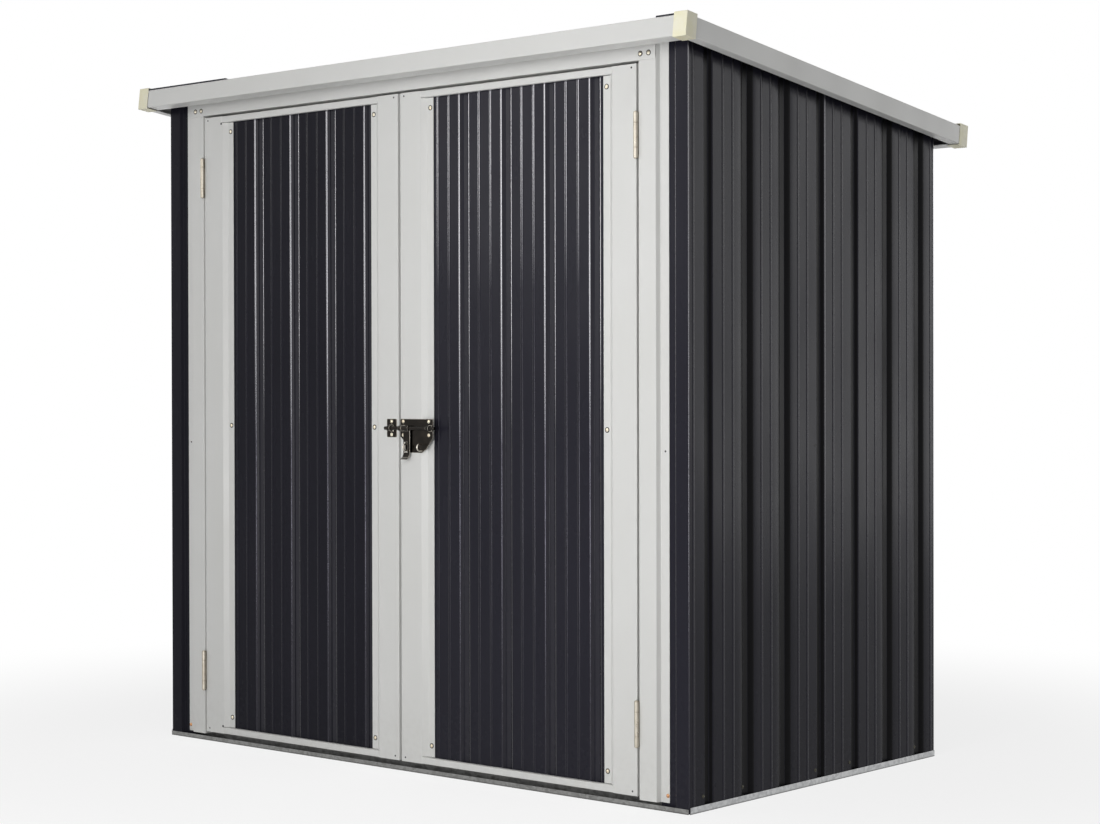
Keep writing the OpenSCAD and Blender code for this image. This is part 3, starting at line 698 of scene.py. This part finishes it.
def door_fixings(side):
    """Screws in a door's flanges and holes in its corners, and notches on the left door.

    Each stile has a face and, one step behind it, a flange towards the sheet. The notches are
    where the rails meet the hinge stile.
    """
    door = f"{side}_door"
    sheet = Box(f"{door}_sheet")
    stile_face, stile_step, rail = 72 * MM, 10.7 * MM, 17 * MM
    screw_inset, screw_below_top, screw_above_end = 10 * MM, 43 * MM, 46 * MM
    hole_inset, hole_below_top, hole_above_end = 14 * MM, 8 * MM, 10 * MM
    notch_inset = 3 * MM
    screws, holes, notches = [], [], []
    for stile_name in ("hinge", "meeting"):
        stile = Box(f"{door}_{stile_name}_stile")
        # Which way the flange points from the stile's face.
        inward = 1 if sheet.centre.x > stile.centre.x else -1
        outer_x, flange_x = (stile.low.x, stile.high.x)[::inward]
        screw_x = flange_x - inward * screw_inset
        hole_x = outer_x + inward * hole_inset
        notch_x = outer_x + inward * (stile_face - notch_inset)
        for z in (stile.high.z - screw_below_top, stile.centre.z, stile.low.z + screw_above_end):
            screws.append((Vector((screw_x, stile.low.y + stile_step, z)), FRONT))
        for z in (stile.high.z - hole_below_top, stile.low.z + hole_above_end):
            holes.append((Vector((hole_x, stile.low.y, z)), FRONT))
        if stile_name == "hinge" and side == "left":
            for z in (stile.high.z - rail - notch_inset, stile.low.z + rail + notch_inset):
                notches.append((Vector((notch_x, stile.low.y, z)), FRONT))
    washered_screws(f"{door}_screws", screws, door)
    with_finish(fixings(f"{door}_holes", hole, holes, door, "white_trim"), PAINTED_SHADE_HOLE)
    if notches:
        with_finish(fixings(f"{door}_notches", notch, notches, door, "white_trim", 0), PAINTED_SHADE_HOLE)


def frame_fixings():
    """Two screws at each end of the header, and a hole and a foot bolt in each post's flange."""
    screw_rise, screw_insets = 27 * MM, (43 * MM, 19 * MM)
    hole_inset, hole_rise = 11 * MM, 800 * MM
    bolt_inset, bolt_rise = 5 * MM, 16 * MM
    header = Box("door_header")
    screws = [
        (Vector((side * (header.high.x - inset), header.low.y, header.low.z + screw_rise)), FRONT)
        for side in (-1, 1) for inset in screw_insets
    ]
    washered_screws("header_screws", screws, "shed")
    holes, bolts = [], []
    for side, post_name in ((-1, "left_door_post"), (1, "right_door_post")):
        post = Box(post_name)
        post_edge = max(abs(post.low.x), post.high.x)
        for inset, rise, places in ((hole_inset, hole_rise, holes), (bolt_inset, bolt_rise, bolts)):
            start = (side * (post_edge - inset), -FAR, post.low.z + rise)
            point, _ = struck(post_name, start, BACK)
            places.append((point, FRONT))
    with_finish(fixings("post_holes", hole, holes, "shed", "white_trim"), PAINTED_SHADE_HOLE)
    with_finish(fixings("post_foot_bolts", screw, bolts, "shed", "brass"), COPPER)


def wall_fixings():
    """Screws in the grooves along the base, and a few holes and screws at half height."""
    base = Box("base_left_rail")
    foot_z, half_z = 35 * MM, 823 * MM
    back_grooves, middle_grooves = 4, (1, 2)
    # How far behind the base's front the side walls' fixings are.
    along_side = (51 * MM, 206 * MM, 503 * MM, 653 * MM, 959 * MM)
    hole_along = along_side[2]
    front_sheet_end = 560 * MM
    screws, holes = [], []
    for side, side_name, inward in ((1, "right", LEFT), (-1, "left", RIGHT)):
        for along in along_side:
            sheet_name = f"{side_name}_wall_{'front' if along < front_sheet_end else 'rear'}_sheet"
            for z, places in ((foot_z, screws), (half_z, holes)):
                if z == foot_z or along == hole_along:
                    point, _ = struck(sheet_name, (FAR * side, base.low.y + along, z), inward)
                    places.append((point, (side, 0, 0)))
    for sheet_name in ("back_wall_left_sheet", "back_wall_middle_sheet", "back_wall_right_sheet"):
        sheet = Box(sheet_name)
        for i in range(back_grooves):
            x = sheet.low.x + (i + 0.5) * sheet.size.x / back_grooves
            for z in (foot_z, half_z) if i in middle_grooves else (foot_z,):
                point, _ = struck(sheet_name, (x, FAR, z), FRONT)
                screws.append((point, BACK))
    with_finish(fixings("wall_screws", small_screw, screws, "shed", "brass"), BLACKENED)
    with_finish(fixings("wall_holes", wide_hole, holes, "shed", "dark_sheet"), PAINTED_SHADE_HOLE)


def groove_bottoms(node, x0, x1, y):
    """The (point, normal) places in the middle of a roof sheet's groove bottoms, across it."""
    step, same_level = 2 * MM, 0.5 * MM
    above = 3
    hits = [
        struck(node, (x0 + (i + 0.5) * step, y, above), DOWN)
        for i in range(int((x1 - x0) / step))
    ]
    hits = [hit for hit in hits if hit[0]]
    floor_z = min(point.z for point, _ in hits)
    bottoms, run = [], []
    for hit in (*hits, None):
        if hit and hit[0].z < floor_z + same_level:
            run.append(hit)
        elif run:
            bottoms.append(run[len(run) // 2])
            run = []
    return bottoms


def roof_fixings():
    """Screws in the roof's groove bottoms, over the header, the purlin and the back rail."""
    back_inset = 10 * MM
    front_line = Box("door_header").high.y
    back_line = Box("wall_top_rails").high.y - back_inset
    screws = []
    for sheet_name in ("roof_left_sheet", "roof_middle_sheet", "roof_right_sheet"):
        sheet = Box(sheet_name)
        for y in (front_line, (front_line + back_line) / 2, back_line):
            screws.extend(groove_bottoms(sheet_name, sheet.low.x, sheet.high.x, y))
    fixings("roof_screws", roof_screw, screws, "shed", "galvanised")


def hinge_fixings(side, sign):
    """Flat screws on both leaves of a door's hinges, and domed ends on their pins."""
    hinge_h, leaf_t, knuckle_r = 105 * MM, 1.5 * MM, 5.5 * MM
    screw_inset, screw_spacing = 9 * MM, 36 * MM
    door_leaves = Box(f"{side}_door_hinge_leaves")
    post_leaves = Box(f"{side}_post_hinge_leaves")
    knuckle_x = (post_leaves.low.x if sign > 0 else post_leaves.high.x) + sign * knuckle_r
    knuckle_y = post_leaves.low.y + knuckle_r
    screw_y = door_leaves.high.y - screw_inset
    on_door, on_post, ends = [], [], []
    for middle in (post_leaves.low.z + hinge_h / 2, post_leaves.high.z - hinge_h / 2):
        for rise in (-screw_spacing, 0, screw_spacing):
            z = middle + rise
            on_door.append((Vector((knuckle_x - sign * leaf_t, screw_y, z)), (sign, 0, 0)))
            on_post.append((Vector((knuckle_x + sign * leaf_t, screw_y, z)), (-sign, 0, 0)))
        for up in (-1, 1):
            ends.append((Vector((knuckle_x, knuckle_y, middle + up * hinge_h / 2)), (0, 0, up)))
    fixings(f"{side}_door_leaf_screws", flat_screw, on_door, f"{side}_door", "brass")
    fixings(f"{side}_post_leaf_screws", flat_screw, on_post, "shed", "brass")
    fixings(f"{side}_hinge_pin_ends", pin_end, ends, "shed", "brass")


def bolt_fixings():
    """Screws through the bolt's plate and its keeper, above and below the rod."""
    plate = Box("bolt_plate")
    keeper = Box("bolt_keeper")
    rod_z = Box("bolt_rod").centre.z
    plate_t, plate_insets = 2 * MM, (11 * MM, 100 * MM)
    plate_rise, keeper_rise = 17 * MM, 16.5 * MM
    y = Box("right_door_meeting_stile").low.y - plate_t
    screws = [
        (Vector((plate.low.x + x, y, rod_z + rise)), FRONT)
        for x in plate_insets for rise in (-plate_rise, plate_rise)
    ]
    with_finish(fixings("bolt_plate_screws", small_screw, screws, "right_door", "brass"), SCREW)
    screws = [
        (Vector((keeper.centre.x, y, rod_z + rise)), FRONT) for rise in (-keeper_rise, keeper_rise)
    ]
    with_finish(fixings("bolt_keeper_screws", small_screw, screws, "left_door", "brass"), SCREW)


door_fixings("left")
door_fixings("right")
frame_fixings()
wall_fixings()
roof_fixings()
hinge_fixings("left", -1)
hinge_fixings("right", 1)
bolt_fixings()

# ---------- Stage ----------

def seen_or_mirrored(tree):
    """1 for rays from the camera and rays that a glossy or clear surface sends on."""
    path = tree.nodes.new("ShaderNodeLightPath")
    total = path.outputs["Is Camera Ray"]
    for name in ("Is Glossy Ray", "Is Transmission Ray"):
        either = tree.nodes.new("ShaderNodeMath")
        either.operation = "MAXIMUM"
        tree.links.new(total, either.inputs[0])
        tree.links.new(path.outputs[name], either.inputs[1])
        total = either.outputs[0]
    return total


def floor():
    """A pale floor that keeps the shed's shadow and fades to white far out."""
    half_size = 40
    fade_start, fade_end = 1.2, 3.0
    # How much of the floor's seen brightness is plain white next to the shed.
    least_white = 0.81
    bm = bmesh.new()
    bmesh.ops.create_grid(bm, x_segments=1, y_segments=1, size=half_size)
    mesh = bpy.data.meshes.new("floor")
    bm.to_mesh(mesh)
    bm.free()
    piece = bpy.data.objects.new("floor", mesh)
    bpy.context.scene.collection.objects.link(piece)
    material = bpy.data.materials.new("floor")
    material.use_nodes = True
    tree = material.node_tree
    tree.nodes.clear()
    lit = tree.nodes.new("ShaderNodeBsdfDiffuse")
    lit.inputs["Color"].default_value = (0.93, 0.93, 0.93, 1)
    white = tree.nodes.new("ShaderNodeEmission")
    white.inputs["Color"].default_value = (1, 1, 1, 1)
    place = tree.nodes.new("ShaderNodeTexCoord")
    distance = tree.nodes.new("ShaderNodeVectorMath")
    distance.operation = "LENGTH"
    tree.links.new(place.outputs["Object"], distance.inputs[0])
    fade = tree.nodes.new("ShaderNodeMapRange")
    fade.interpolation_type = "SMOOTHSTEP"
    fade.inputs["From Min"].default_value = fade_start
    fade.inputs["From Max"].default_value = fade_end
    fade.inputs["To Min"].default_value = least_white
    tree.links.new(distance.outputs["Value"], fade.inputs["Value"])
    share = tree.nodes.new("ShaderNodeMath")
    share.operation = "MULTIPLY"
    tree.links.new(fade.outputs["Result"], share.inputs[0])
    tree.links.new(seen_or_mirrored(tree), share.inputs[1])
    mix = tree.nodes.new("ShaderNodeMixShader")
    tree.links.new(share.outputs[0], mix.inputs[0])
    tree.links.new(lit.outputs[0], mix.inputs[1])
    tree.links.new(white.outputs[0], mix.inputs[2])
    out = tree.nodes.new("ShaderNodeOutputMaterial")
    tree.links.new(mix.outputs[0], out.inputs["Surface"])
    mesh.materials.append(material)


def world(strength):
    """White where it is seen or mirrored, and a soft even light elsewhere."""
    made = bpy.data.worlds.new("studio")
    bpy.context.scene.world = made
    made.use_nodes = True
    tree = made.node_tree
    background = tree.nodes["Background"]
    background.inputs["Color"].default_value = (1, 1, 1, 1)
    level = tree.nodes.new("ShaderNodeMapRange")
    level.inputs["To Min"].default_value = strength
    level.inputs["To Max"].default_value = 1.0
    tree.links.new(seen_or_mirrored(tree), level.inputs["Value"])
    tree.links.new(level.outputs["Result"], background.inputs["Strength"])


def softbox(name, place, target, size, power):
    """A soft area light at a place, turned to a target; size is its width and height."""
    data = bpy.data.lights.new(name, "AREA")
    data.shape = "RECTANGLE"
    data.size, data.size_y = size
    data.energy = power
    lamp = bpy.data.objects.new(name, data)
    bpy.context.scene.collection.objects.link(lamp)
    lamp.location = place
    lamp.rotation_euler = (Vector(target) - Vector(place)).to_track_quat("-Z", "Y").to_euler()


def camera():
    """In front of the right corner and a little above the bolt, looking level at the shed."""
    data = bpy.data.cameras.new("camera")
    data.sensor_width = 36
    data.lens = 71.826
    made = bpy.data.objects.new("camera", data)
    bpy.context.scene.collection.objects.link(made)
    base_front = Box("base_front_rail").low.y
    made.location = (3.897, base_front - 3.932, 0.951)
    yaw, pitch, roll = math.radians(40.88), math.radians(-0.494), math.radians(-0.110)
    made.rotation_euler = (
        Matrix.Rotation(yaw, 3, "Z")
        @ Matrix.Rotation(math.pi / 2 + pitch, 3, "X")
        @ Matrix.Rotation(roll, 3, "Z")
    ).to_euler()
    bpy.context.scene.camera = made


floor()
world(0.15)
softbox("key", (1.1, -2.6, 1.4), target=(0.9, -0.5, 1.1), size=(1.0, 2.2), power=21)
softbox("fill", (1.3, -3.9, 0.5), target=(0.0, -0.5, 1.6), size=(1.6, 0.7), power=29)
softbox("overhead", (0.5, -1.4, 5.0), target=(0.3, -0.8, 0.0), size=(3.0, 3.0), power=28)
softbox("sheen", (-2.8, -4.4, 2.4), target=(0.3, -0.5, 1.4), size=(1.2, 2.2), power=22)
softbox("left_strip", (-3.6, -1.8, 2.2), target=(0, -0.5, 1.5), size=(0.2, 2.0), power=5)
softbox("side", (3.9, 4.3, 1.7), target=(0.9, 0.1, 0.9), size=(2.4, 3.0), power=49)
camera()

bpy.context.scene.view_settings.view_transform = "Standard"
